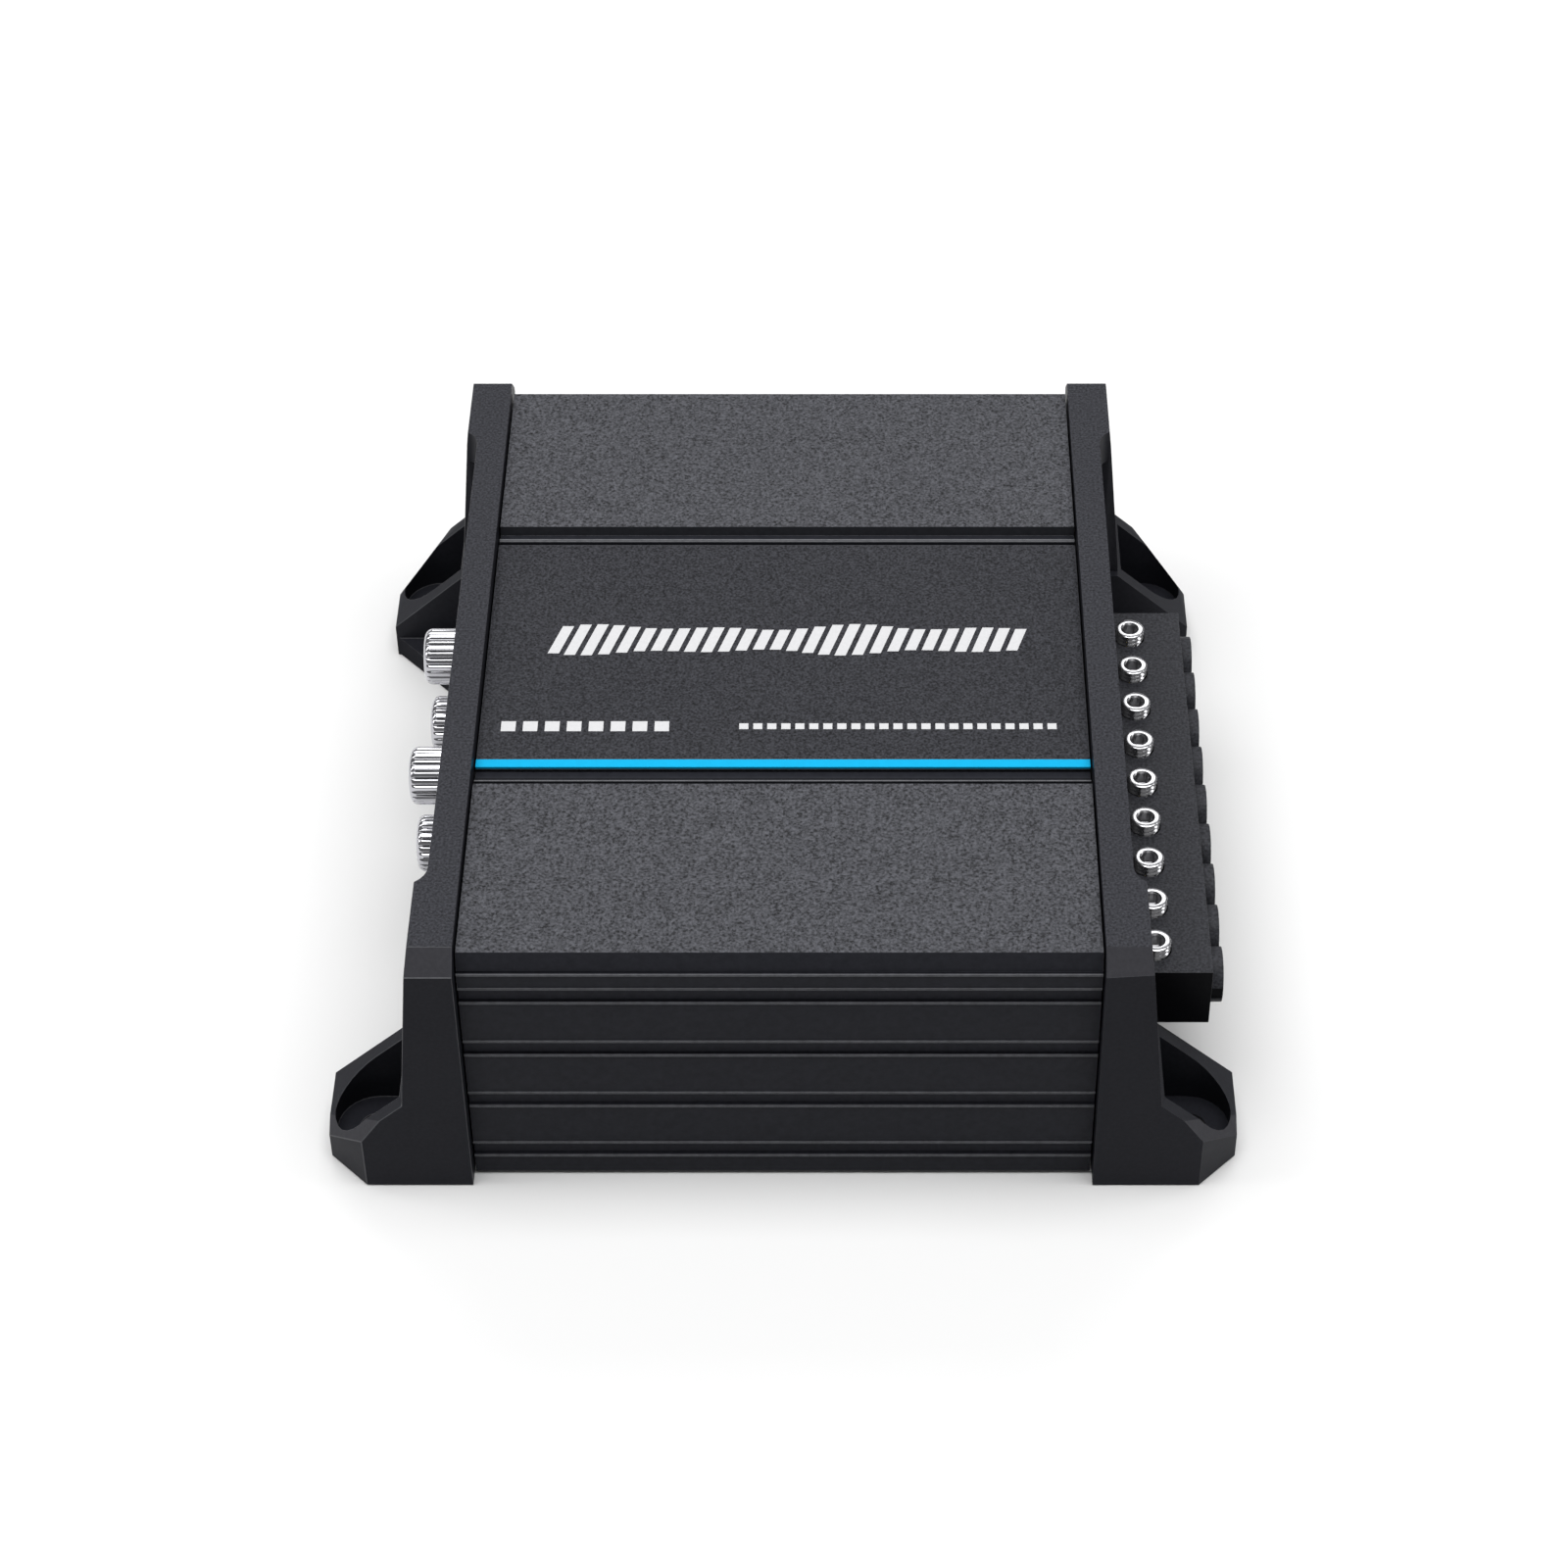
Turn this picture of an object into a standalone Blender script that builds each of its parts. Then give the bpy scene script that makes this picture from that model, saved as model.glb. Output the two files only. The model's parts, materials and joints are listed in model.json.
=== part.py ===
"""Compact four-channel car amplifier, modelled as an assembly of separate pieces.

An aluminium extrusion runs along X between two moulded end caps. The caps carry
the four screw-down feet. The signal side (-X) has the phono jacks and controls,
the power side (+X) has the nine-way screw terminal block.

Frame: origin on the ground under the middle of the amplifier, +X to the
terminal side, +Y to the rear, +Z up. Dimensions below are in millimetres;
every helper turns them into metres.
"""
import math

import bmesh
import bpy
from mathutils import Matrix, Vector

MM = 0.001
OBJECT_NAME = "car_amplifier"
GAP = 0.3                      # clearance between pieces that touch

# ---- overall form -----------------------------------------------------------
HALF_DEPTH = 74.1              # end cap, centre to front or rear face
CAP_TOP = 52.1
CAP_INNER = 50.2               # inner face of an end cap, from the centre
CAP_EDGE_CHAMFER = 3.4
RAIL_OUTER = 55.3              # recessed middle stretch of a cap's outer face
PILLAR_INNER = 57.1            # |Y| where the corner pillars begin
PILLAR_FILLET = 3.8
# outer side of a corner pillar, (|X|, Z) from the top down
PILLAR_FLARE = [(57.2, 52.1), (57.6, 49.0), (60.0, 23.3), (60.9, 12.0), (61.2, 0.0)]
WINDOW_HALF_Y, WINDOW_Z = 56.7, (5.0, 45.5)
REBATE_HALF_Y, REBATE_Z = 60.3, (2.7, 47.3)

# ---- feet -------------------------------------------------------------------
FOOT_OUTER = 73.8
FOOT_FRONT_X = 67.5            # |X| where the foot's corner chamfer starts
FOOT_ROOT, FOOT_INNER = 58.0, 55.7   # |X| and |Y| where the block behind the well begins
FOOT_TOP = 19.2                # stays below the terminal block
FOOT_BASE = 4.0                # thickness of the base flange
FLANGE_OUTER = (73.5, 55.9)    # (|X|, |Y|) ends of the flange's slanting edge
FLANGE_INNER = (55.0, 36.0)
SLOPE_LOW, SLOPE_RISE = (74.0, 6.6), 0.916   # (|X|, Z) on the sloping top, rise per unit inwards
# corner bevel, three points as (|X|, depth from the face, Z)
BEVEL_POINTS = [(67.9, 0.4, 10.2), (73.9, 6.4, 4.9), (73.7, 9.1, 6.9)]
WELL_CENTRE = (66.3, 65.0)     # (|X|, |Y|) of the mounting screw
WELL_RADIUS, WELL_FLAT_X = 6.5, 61.0
MOUNT_HOLE_RADIUS = 2.8

# ---- extrusion --------------------------------------------------------------
BODY_HALF_X = CAP_INNER - GAP
PAD_TOP, CHANNEL_FLOOR, CHANNEL_HALF_Y = 50.2, 48.2, 32.4
BEAD_Y, BEAD_TOP = (29.8, 30.6), 48.9
TOP_EDGE_Y, LEDGE_Y, FACE_Y, LEDGE_Z = 70.1, 71.1, 71.6, 47.0
BODY_BOTTOM, ROOF_INNER, WALL_INNER = 0.6, 46.4, 68.0
GROOVE_LOWS, GROOVE_HEIGHT, GROOVE_DEPTH = (40.7, 28.7, 16.7, 4.7), 2.7, 0.5
SLOT_DEPTH = 1.3               # inner slots that hold the boards
PLATE_SLOT_Z, BOARD_SLOT_Z = (1.8, 3.4), (10.1, 12.3)
BOSS_INNER_Y, BOSS_HALF_Z = 62.2, 3.3
BOSS_Y, BOSS_Z = 65.2, (43.1, 27.0)
BOSS_HOLE_RADIUS = 1.6

# ---- top badge panel --------------------------------------------------------
BADGE_Y, BADGE_Z = (-27.6, 28.5), (48.5, 49.3)
STRIP_WIDTH, STRIP_REBATE = 1.9, 0.45

# ---- signal side ------------------------------------------------------------
PANEL_THICKNESS = 2.0
PANEL_OUTER = CAP_INNER + PANEL_THICKNESS
JACK_Y, JACK_Z = (-15.0, 15.0), (19.7, 35.5)
JACK_RADIUS, JACK_BORE, JACK_END = 4.85, 3.5, 62.5
NOSE_RADIUS, NOSE_END, PIN_HOLE_RADIUS = 3.3, 61.9, 1.7
HOUSING_BACK, HOUSING_FRONT, HOUSING_HALF_Y = 36.0, 49.4, 5.6
CONTROL_Z = 18.5
KNOB_Y = {"level": 27.0, "crossover": 50.0}
KNOB_RADIUS, KNOB_END, KNOB_BASE = 3.2, 54.6, 50.6
SHAFT_RADIUS, SHAFT_END = 1.5, 44.3
SWITCH_Y, SWITCH_TRAVEL = 38.5, 2.4
STEM_HALF_Y, STEM_HALF_Z, STEM_END = 1.2, 1.1, 54.2

# ---- power side -------------------------------------------------------------
POLES, POLE_PITCH, FIRST_POLE_Y = 9, 9.5, -51.1
BLOCK_X, BLOCK_Y, BLOCK_Z = (55.6, 69.0), (-56.4, 31.3), (19.6, 31.3)
NECK_X, NECK_Y, NECK_Z = (49.4, 56.0), (-55.9, 30.0), (20.8, 30.3)
COLLAR_RADIUS, COLLAR_END, WIRE_RADIUS, WIRE_Z = 4.5, 71.0, 3.1, 25.4
CELL_HALF_Y, CELL_Z, CELL_END = 3.95, (21.6, 29.6), 64.0
CLAMP_X, CLAMP_HALF_Y, CLAMP_Z = (55.4, 63.6), 3.65, (21.9, 29.3)
CLAMP_WINDOW_HALF_Y, CLAMP_WINDOW_Z = 2.55, (22.8, 27.6)
TAIL_X, TAIL_HALF_Y, TAIL_THICKNESS = 45.0, 1.5, 0.9
SCREW_X, SCREW_RADIUS, SCREW_Z = 60.0, 2.5, (27.9, 33.3)
SCREW_HOLE_RADIUS, HEX_ACROSS_FLATS, HEX_DEPTH = 2.7, 2.5, 2.6
THREAD_RADIUS = 2.58           # running fit for a set screw in its clamp
LED_Y, LED_Z, LED_RADIUS, LENS_TIP = 42.0, 25.4, 1.5, 53.4

# ---- inside -----------------------------------------------------------------
BOARD_Z, BOARD_HALF_X, BOARD_HALF_Y = (10.4, 12.0), 46.5, 69.0
ON_BOARD = BOARD_Z[1] + GAP
CAP_SCREW_HEAD_X, CAP_SCREW_HEAD_RADIUS = (54.3, 56.4), 2.9
CAP_SCREW_RADIUS, CAP_SCREW_TIP = 1.45, 38.0
COUNTERBORE_RADIUS, COUNTERBORE_FLOOR, CAP_HOLE_RADIUS = 3.2, 54.0, 1.75

CLEAR = 30.0                   # how far cutters run past the stock

SIDES = {"left": -1, "right": 1}
ENDS = {"front": -1, "rear": 1}


# ---- collections and materials ----------------------------------------------
def clear_scene():
    for old in list(bpy.data.objects):
        bpy.data.objects.remove(old, do_unlink=True)


def new_collection(name):
    collection = bpy.data.collections.new(name)
    bpy.context.scene.collection.children.link(collection)
    return collection


def new_material(name, colour, roughness, metallic=0.0):
    material = bpy.data.materials.new(name)
    material.use_nodes = True
    shader = material.node_tree.nodes["Principled BSDF"]
    shader.inputs["Base Color"].default_value = (*colour, 1.0)
    shader.inputs["Roughness"].default_value = roughness
    shader.inputs["Metallic"].default_value = metallic
    material.diffuse_color = (*colour, 1.0)
    return material


# ---- solids -----------------------------------------------------------------
def axis_frame(axis):
    """Turn a shape drawn in local XY and raised along local Z towards an axis."""
    columns = {
        "X": (Vector((0, 1, 0)), Vector((0, 0, 1)), Vector((1, 0, 0))),
        "Y": (Vector((1, 0, 0)), Vector((0, 0, 1)), Vector((0, -1, 0))),
        "Z": (Vector((1, 0, 0)), Vector((0, 1, 0)), Vector((0, 0, 1))),
    }[axis]
    return Matrix([[column[row] for column in columns] for row in range(3)]).to_4x4()


def settle(bm):
    """Weld, put every point on a 0.1 micrometre grid and turn the faces outwards.

    The grid makes faces that lie in one plane agree exactly, so Booleans join them.
    """
    bmesh.ops.remove_doubles(bm, verts=bm.verts, dist=1e-6)
    for vertex in bm.verts:
        vertex.co = [round(value, 7) for value in vertex.co]
    bmesh.ops.recalc_face_normals(bm, faces=bm.faces)


def finish_mesh(bm, name):
    settle(bm)
    mesh = bpy.data.meshes.new(name)
    bm.to_mesh(mesh)
    bm.free()
    return mesh


def box_mesh(name, x, y, z):
    """Box between two X, two Y and two Z values."""
    spans = [sorted(span) for span in (x, y, z)]
    size = Vector([high - low for low, high in spans]) * MM
    centre = Vector([(high + low) / 2 for low, high in spans]) * MM
    bm = bmesh.new()
    bmesh.ops.create_cube(bm, size=1.0, matrix=Matrix.Translation(centre) @ Matrix.Diagonal((*size, 1.0)))
    return finish_mesh(bm, name)


def rod_mesh(name, axis, centre, radius, span, sides=24, end_radius=None):
    """Cylinder or cone along an axis; centre gives the other two coordinates."""
    low, high = sorted(span)
    place = axis_place(axis, centre, (low + high) / 2)
    bm = bmesh.new()
    bmesh.ops.create_cone(
        bm, cap_ends=True, segments=sides, radius1=radius * MM,
        radius2=(radius if end_radius is None else end_radius) * MM,
        depth=(high - low) * MM, matrix=Matrix.Translation(place) @ rod_turn(axis))
    return finish_mesh(bm, name)


def rod_turn(axis):
    return {
        "X": Matrix.Rotation(math.pi / 2, 4, "Y"),
        "Y": Matrix.Rotation(-math.pi / 2, 4, "X"),
        "Z": Matrix.Identity(4),
    }[axis]


def axis_place(axis, centre, along):
    first, second = centre
    return Vector({
        "X": (along, first, second),
        "Y": (first, along, second),
        "Z": (first, second, along),
    }[axis]) * MM


def outline_mesh(name, loops, axis, span):
    """Flat outline, the first loop outside and the others holes, raised along an axis.

    Loop points are (Y, Z) for axis X, (X, Z) for axis Y and (X, Y) for axis Z.
    """
    low, high = sorted(span)
    curve = bpy.data.curves.new(name, "CURVE")
    curve.dimensions = "2D"
    curve.fill_mode = "BOTH"
    curve.extrude = (high - low) / 2 * MM
    for loop in loops:
        spline = curve.splines.new("POLY")
        spline.points.add(len(loop) - 1)
        spline.use_cyclic_u = True
        for point, (u, v) in zip(spline.points, loop):
            point.co = (u * MM, v * MM, 0.0, 1.0)
    guide = bpy.data.objects.new(name, curve)
    bpy.context.scene.collection.objects.link(guide)
    bpy.context.view_layer.update()
    flat = bpy.data.meshes.new_from_object(guide.evaluated_get(bpy.context.evaluated_depsgraph_get()))
    bpy.data.objects.remove(guide, do_unlink=True)
    bpy.data.curves.remove(curve)
    bm = bmesh.new()
    bm.from_mesh(flat)
    bpy.data.meshes.remove(flat)
    middle = axis_place(axis, (0.0, 0.0), (low + high) / 2)
    bm.transform(Matrix.Translation(middle) @ axis_frame(axis))
    return finish_mesh(bm, name)


def circle(centre, radius, sides=16):
    turn = 2 * math.pi / sides
    return [(centre[0] + radius * math.cos(turn * i), centre[1] + radius * math.sin(turn * i))
            for i in range(sides)]


def arc(centre, radius, start, stop, steps):
    """Points on an arc, angles in degrees."""
    angles = [math.radians(start + (stop - start) * i / steps) for i in range(steps + 1)]
    return [(centre[0] + radius * math.cos(a), centre[1] + radius * math.sin(a)) for a in angles]


def rectangle(u, v):
    return [(u[0], v[0]), (u[1], v[0]), (u[1], v[1]), (u[0], v[1])]


def trim(mesh, point, normal):
    """Cut away the part of a closed mesh that lies beyond a plane."""
    bm = bmesh.new()
    bm.from_mesh(mesh)
    cut = bmesh.ops.bisect_plane(
        bm, geom=bm.verts[:] + bm.edges[:] + bm.faces[:], dist=1e-7,
        plane_co=Vector(point) * MM, plane_no=normal, clear_outer=True)
    rim = [item for item in cut["geom_cut"] if isinstance(item, bmesh.types.BMEdge)]
    bmesh.ops.contextual_create(bm, geom=rim)
    settle(bm)
    bm.to_mesh(mesh)
    bm.free()


class Builder:
    """Makes the pieces and keeps the parts and the cutters in their collections."""

    def __init__(self):
        self.parts = new_collection(OBJECT_NAME)
        self.cutters = new_collection("cutters")

    def part(self, name, mesh, material, smooth=False, origin=None):
        """A piece of the amplifier; origin moves its object's origin to a joint axis."""
        if origin is not None:
            mesh.transform(Matrix.Translation(-Vector(origin) * MM))
        piece = bpy.data.objects.new(name, mesh)
        if origin is not None:
            piece.location = Vector(origin) * MM
        mesh.materials.append(material)
        if smooth:
            mesh.shade_smooth()
            mesh.set_sharp_from_angle(angle=math.radians(35))
        self.parts.objects.link(piece)
        return piece

    def combine(self, piece, mesh, operation):
        """Add, cut or keep the shape of a mesh, given in world coordinates."""
        tool = bpy.data.objects.new(f"{piece.name}_{operation.lower()}", mesh)
        tool.hide_render = True
        tool.display_type = "WIRE"
        self.cutters.objects.link(tool)
        step = piece.modifiers.new(operation.title(), "BOOLEAN")
        step.operation = operation
        step.solver = "EXACT"
        step.object = tool
        return tool

    def cut(self, piece, mesh):
        return self.combine(piece, mesh, "DIFFERENCE")

    def join(self, piece, mesh):
        return self.combine(piece, mesh, "UNION")


# ---- casing -----------------------------------------------------------------
def extrusion_half():
    """Right-hand (+Y) half of the extrusion's outline from the roof to the inside."""
    outer = [
        (BEAD_Y[0], CHANNEL_FLOOR), (BEAD_Y[0], BEAD_TOP), (BEAD_Y[1], BEAD_TOP),
        (BEAD_Y[1], CHANNEL_FLOOR), (CHANNEL_HALF_Y, CHANNEL_FLOOR), (CHANNEL_HALF_Y, PAD_TOP),
        (TOP_EDGE_Y, PAD_TOP), (LEDGE_Y, LEDGE_Z), (FACE_Y, LEDGE_Z),
    ]
    for low in GROOVE_LOWS:
        high = low + GROOVE_HEIGHT
        floor = FACE_Y - GROOVE_DEPTH
        outer += [(FACE_Y, high), (floor, high), (floor, low), (FACE_Y, low)]
    outer += [(FACE_Y, BODY_BOTTOM)]
    inner = [(WALL_INNER, BODY_BOTTOM)]
    for low, high in (PLATE_SLOT_Z, BOARD_SLOT_Z):
        deep = WALL_INNER + SLOT_DEPTH
        inner += [(WALL_INNER, low), (deep, low), (deep, high), (WALL_INNER, high)]
    boss_low, boss_high = BOSS_Z[1] - BOSS_HALF_Z, BOSS_Z[1] + BOSS_HALF_Z
    inner += [(WALL_INNER, boss_low), (BOSS_INNER_Y, boss_low), (BOSS_INNER_Y, boss_high),
              (WALL_INNER, boss_high)]
    corner_low = BOSS_Z[0] - BOSS_HALF_Z
    inner += [(WALL_INNER, corner_low), (BOSS_INNER_Y, corner_low), (BOSS_INNER_Y, ROOF_INNER)]
    return outer + inner


def make_casing(build, finish):
    half = extrusion_half()
    outline = half + [(-y, z) for y, z in reversed(half)]
    holes = [circle((end * BOSS_Y, z), BOSS_HOLE_RADIUS, 12) for end in ENDS.values() for z in BOSS_Z]
    body = outline_mesh("heatsink_body", [outline] + holes, "X", (-BODY_HALF_X, BODY_HALF_X))
    build.part("heatsink_body", body, finish["cast_black"])

    plate_edge = WALL_INNER + SLOT_DEPTH - GAP
    plate_z = (PLATE_SLOT_Z[0] + GAP, PLATE_SLOT_Z[1] - GAP)
    plate = box_mesh("bottom_plate", (-BODY_HALF_X, BODY_HALF_X), (-plate_edge, plate_edge), plate_z)
    build.part("bottom_plate", plate, finish["sheet_steel"])

    strip_back, step_z = BADGE_Y[0] + STRIP_WIDTH, BADGE_Z[1] - STRIP_REBATE
    badge_outline = [
        (BADGE_Y[0], BADGE_Z[0]), (BADGE_Y[1], BADGE_Z[0]), (BADGE_Y[1], BADGE_Z[1]),
        (strip_back, BADGE_Z[1]), (strip_back, step_z), (BADGE_Y[0], step_z)]
    badge = outline_mesh("badge_panel", [badge_outline], "X", (-BODY_HALF_X, BODY_HALF_X))
    build.part("badge_panel", badge, finish["panel_black"])
    fit = 0.1
    strip = box_mesh("accent_strip", (-BODY_HALF_X, BODY_HALF_X),
                     (BADGE_Y[0], strip_back - fit), (step_z + fit, BADGE_Z[1] + fit / 2))
    build.part("accent_strip", strip, finish["accent_blue"])


def foot_block(side, end):
    """Block around the screw well: corner chamfer, sloping top and corner bevel."""
    x = (side * FOOT_ROOT, side * FOOT_OUTER)
    y = (end * FOOT_INNER, end * HALF_DEPTH)
    mesh = box_mesh("foot_block", x, y, (0.0, FOOT_TOP))
    trim(mesh, (side * SLOPE_LOW[0], 0.0, SLOPE_LOW[1]), (side * SLOPE_RISE, 0.0, 1.0))
    trim(mesh, (side * FOOT_FRONT_X, end * HALF_DEPTH, 0.0), (side, end, 0.0))
    corners = [Vector((side * x, end * (HALF_DEPTH - depth), z)) for x, depth, z in BEVEL_POINTS]
    normal = (corners[1] - corners[0]).cross(corners[2] - corners[0])
    if normal.z < 0:
        normal.negate()
    trim(mesh, corners[0], normal)
    return mesh


def flange_outline(side, end):
    """Plan of the low web that runs from the foot back to the middle of the cap."""
    root, inside = RAIL_OUTER - 2.0, PILLAR_INNER + 3.0
    points = [(root, inside), (FOOT_OUTER - 2.0, inside), FLANGE_OUTER, FLANGE_INNER,
              (root, FLANGE_INNER[1])]
    return [(side * x, end * y) for x, y in points]


def well_outline(side, end):
    """U-shaped plan: a half round outside, straight sides, a flat wall by the pillar."""
    y = WELL_CENTRE[1]
    points = arc(WELL_CENTRE, WELL_RADIUS, -90, 90, 14)
    points += [(WELL_FLAT_X, y + WELL_RADIUS), (WELL_FLAT_X, y - WELL_RADIUS)]
    return [(side * x, end * y) for x, y in points]


def recess_outline(side):
    """Plan of the space outside the rail, between the two corner pillars."""
    centre = (RAIL_OUTER + PILLAR_FILLET, PILLAR_INNER - PILLAR_FILLET)
    rear = arc(centre, PILLAR_FILLET, 180, 90, 6) + [(FOOT_OUTER + CLEAR, PILLAR_INNER)]
    front = [(x, -y) for x, y in reversed(rear)]
    return [(side * x, y) for x, y in rear + front]


def make_end_cap(build, finish, label):
    side = SIDES[label]
    name = f"end_cap_{label}"
    profile = [(side * x, z) for x, z in PILLAR_FLARE + [(CAP_INNER, 0.0), (CAP_INNER, CAP_TOP)]]
    mesh = outline_mesh(name, [profile], "Y", (-HALF_DEPTH, HALF_DEPTH))
    for end in ENDS.values():
        trim(mesh, (0.0, end * HALF_DEPTH, CAP_TOP - CAP_EDGE_CHAMFER), (0.0, end, 1.0))
    cap = build.part(name, mesh, finish["moulded_black"])
    build.cut(cap, outline_mesh("recess", [recess_outline(side)], "Z", (-CLEAR, CAP_TOP + CLEAR)))
    window = rectangle((-WINDOW_HALF_Y, WINDOW_HALF_Y), WINDOW_Z)
    window_span = (side * (CAP_INNER - 5.0), side * (FOOT_OUTER - 5.0))
    build.cut(cap, outline_mesh("window", [window], "X", window_span))
    for end in ENDS.values():
        build.join(cap, outline_mesh("flange", [flange_outline(side, end)], "Z", (0.0, FOOT_BASE)))
        build.join(cap, foot_block(side, end))
        build.cut(cap, outline_mesh("well", [well_outline(side, end)], "Z", (FOOT_BASE, CAP_TOP)))
        centre = (side * WELL_CENTRE[0], end * WELL_CENTRE[1])
        build.cut(cap, rod_mesh("mount_hole", "Z", centre, MOUNT_HOLE_RADIUS, (-CLEAR, FOOT_BASE + 1.0)))
    rebate = rectangle((-REBATE_HALF_Y, REBATE_HALF_Y), REBATE_Z)
    rebate_span = (side * (CAP_INNER - 5.0), side * (PANEL_OUTER + GAP))
    build.cut(cap, outline_mesh("rebate", [rebate], "X", rebate_span))
    for end in ENDS.values():
        for z in BOSS_Z:
            centre = (end * BOSS_Y, z)
            outside = (side * COUNTERBORE_FLOOR, side * FOOT_OUTER)
            through = (side * (CAP_INNER - 5.0), side * (COUNTERBORE_FLOOR + 1.0))
            build.cut(cap, rod_mesh("counterbore", "X", centre, COUNTERBORE_RADIUS, outside, 20))
            build.cut(cap, rod_mesh("screw_hole", "X", centre, CAP_HOLE_RADIUS, through, 16))


def make_cap_screws(build, finish):
    for label, side in SIDES.items():
        for end_label, end in ENDS.items():
            for level, z in zip(("upper", "lower"), BOSS_Z):
                name = f"cap_screw_{label}_{end_label}_{level}"
                centre = (end * BOSS_Y, z)
                head = (side * CAP_SCREW_HEAD_X[0], side * CAP_SCREW_HEAD_X[1])
                shank = (side * CAP_SCREW_TIP, side * (CAP_SCREW_HEAD_X[0] + 0.5))
                mesh = rod_mesh(name, "X", centre, CAP_SCREW_HEAD_RADIUS, head, 20)
                screw = build.part(name, mesh, finish["zinc_black"])
                build.join(screw, rod_mesh("shank", "X", centre, CAP_SCREW_RADIUS, shank, 12))
                for angle in (0, 90):
                    build.cut(screw, cross_bar(side, centre, angle))


def cross_bar(side, centre, angle):
    """One bar of the cross recess in a cap screw's head."""
    reach, width, depth = 1.7, 0.35, 1.2
    outer = side * CAP_SCREW_HEAD_X[1]
    spans = {0: ((-reach, reach), (-width, width)), 90: ((-width, width), (-reach, reach))}[angle]
    y = [centre[0] + value for value in spans[0]]
    z = [centre[1] + value for value in spans[1]]
    return box_mesh("cross_bar", (outer - side * depth, outer + side * 1.0), y, z)


# ---- signal side ------------------------------------------------------------
def panel_stock(side):
    y = (-REBATE_HALF_Y + GAP, REBATE_HALF_Y - GAP)
    z = (REBATE_Z[0] + GAP, REBATE_Z[1] - GAP)
    return rectangle(y, z), (side * CAP_INNER, side * PANEL_OUTER)


def make_input_panel(build, finish):
    outline, span = panel_stock(-1)
    holes = [circle((y, z), NOSE_RADIUS + 0.2, 24) for y in JACK_Y for z in JACK_Z]
    for end in ENDS.values():
        holes += [circle((end * y, CONTROL_Z), KNOB_RADIUS + GAP, 24) for y in KNOB_Y.values()]
        reach = STEM_HALF_Y + SWITCH_TRAVEL + 0.4
        centre = end * SWITCH_Y
        stem_z = (CONTROL_Z - STEM_HALF_Z - GAP, CONTROL_Z + STEM_HALF_Z + GAP)
        holes.append(rectangle((centre - reach, centre + reach), stem_z))
    panel = outline_mesh("input_panel", [outline] + holes, "X", span)
    build.part("input_panel", panel, finish["sheet_black"])


def make_jacks(build, finish):
    for end_label, y in zip(("front", "rear"), JACK_Y):
        name = f"phono_housing_{end_label}"
        housing_z = (ON_BOARD, JACK_Z[1] + HOUSING_HALF_Y)
        mesh = box_mesh(name, (-HOUSING_BACK, -HOUSING_FRONT),
                        (y - HOUSING_HALF_Y, y + HOUSING_HALF_Y), housing_z)
        housing = build.part(name, mesh, finish["insulator"])
        for z in JACK_Z:
            nose = (-HOUSING_FRONT + 2.0, -NOSE_END)
            build.join(housing, rod_mesh("nose", "X", (y, z), NOSE_RADIUS, nose, 24))
            socket = (-HOUSING_FRONT, -NOSE_END - 2.0)
            build.cut(housing, rod_mesh("pin_hole", "X", (y, z), PIN_HOLE_RADIUS, socket, 16))
        for level, z in zip(("lower", "upper"), JACK_Z):
            make_jack_shell(build, finish, f"phono_shell_{end_label}_{level}", y, z)


def make_jack_shell(build, finish, name, y, z):
    """Turned barrel: a ring profile spun about the jack's axis."""
    chamfer = 0.7
    inner, outer = PANEL_OUTER + GAP, JACK_END
    profile = [
        (JACK_RADIUS, -inner), (JACK_RADIUS, -outer + chamfer), (JACK_RADIUS - chamfer, -outer),
        (JACK_BORE, -outer), (JACK_BORE, -inner)]
    mesh = turned_mesh(name, profile, 28)
    mesh.transform(Matrix.Translation(Vector((0, y, z)) * MM))
    build.part(name, mesh, finish["chrome"], smooth=True)


def turned_mesh(name, profile, steps):
    """Closed ring profile, (radius, X) points, spun about the X axis."""
    mesh = bpy.data.meshes.new(name)
    points = [(radius * MM, 0.0, along * MM) for radius, along in profile]
    edges = [(i, (i + 1) % len(points)) for i in range(len(points))]
    mesh.from_pydata(points, edges, [])
    guide = bpy.data.objects.new(name, mesh)
    bpy.context.scene.collection.objects.link(guide)
    spin = guide.modifiers.new("Spin", "SCREW")
    spin.steps = spin.render_steps = steps
    spin.use_merge_vertices = True
    spin.merge_threshold = 0.00001
    bpy.context.view_layer.update()
    ring = bpy.data.meshes.new_from_object(guide.evaluated_get(bpy.context.evaluated_depsgraph_get()))
    bpy.data.objects.remove(guide, do_unlink=True)
    bm = bmesh.new()
    bm.from_mesh(ring)
    bpy.data.meshes.remove(ring)
    bm.transform(Matrix.Rotation(math.pi / 2, 4, "Y"))
    return finish_mesh(bm, name)


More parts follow.
